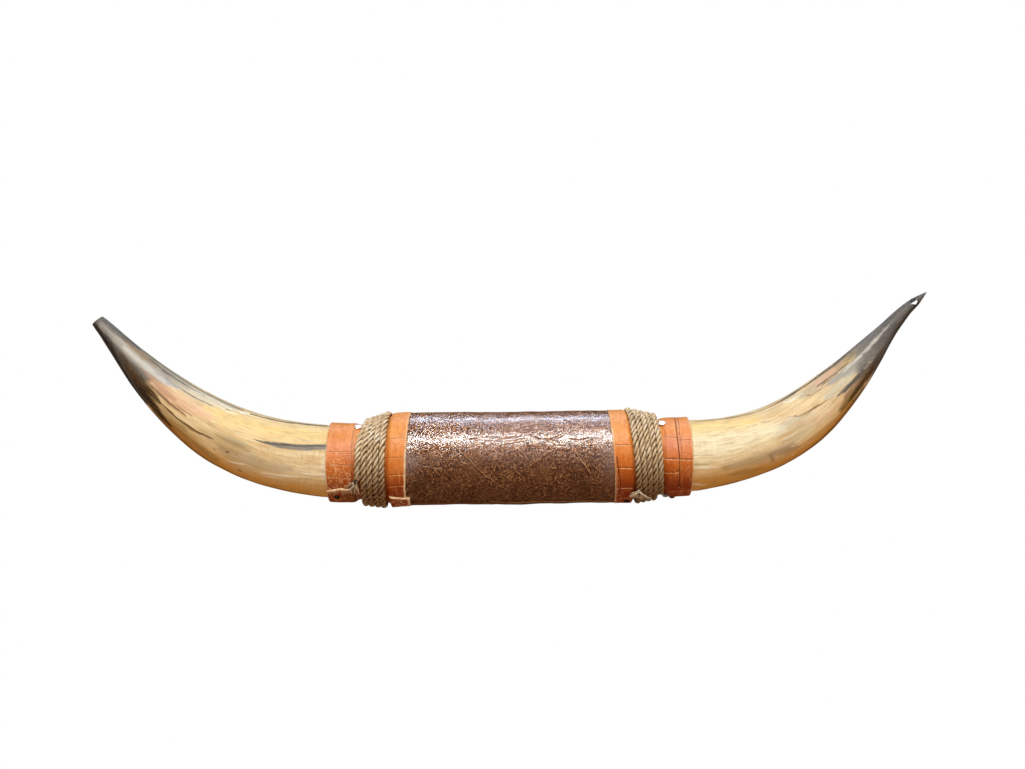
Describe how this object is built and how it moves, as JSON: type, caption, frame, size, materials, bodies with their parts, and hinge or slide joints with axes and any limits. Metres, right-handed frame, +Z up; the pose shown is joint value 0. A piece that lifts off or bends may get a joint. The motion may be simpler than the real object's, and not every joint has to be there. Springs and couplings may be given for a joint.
{
  "type": "leather-wrapped steer horn mount",
  "caption": "Wall mount of joined steer horns: a brown leather sleeve round the middle, orange leather cuffs lashed with jute rope over the joints, and curved, tapering horns.",
  "frame": {"origin": "middle of the hanger strap's wall face, at the back of the wrapped centre", "axes": "+X along the wrap to the viewer's right, +Z up, +Y towards the wall, so the viewer stands on the -Y side"},
  "size_m": [0.9812, 0.1151, 0.2506],
  "materials": {
    "wood": "plain turned softwood, hidden under the leather",
    "horn": "polished natural horn, creamy tan with grey streaks, darkening to charcoal at the tips",
    "brown_leather": "dark reddish brown, crinkled relief, glossy",
    "orange_leather": "orange-tan, embossed in large scales, satin",
    "jute": "three-strand twisted jute, grey-tan, dry",
    "bright_tack": "plated tack head, shiny and slightly worn",
    "dark_tack": "blackened tack head",
    "steel": "zinc-plated steel strap and screws"
  },
  "bodies": {
    "root": {"core": "wood", "horn_left": "horn", "horn_right": "horn", "wrap": "brown_leather", "cuff_left": "orange_leather", "cuff_right": "orange_leather", "rope_left": "jute", "rope_right": "jute", "tack_left_top": "bright_tack", "tack_left_flap": "dark_tack", "tack_right_top": "bright_tack", "tack_right_inner": "dark_tack", "tack_right_bottom": "bright_tack", "tack_right_under": "dark_tack", "hanger": "steel", "hanger_screw_left": "steel", "hanger_screw_right": "steel"}
  },
  "joints": []
}
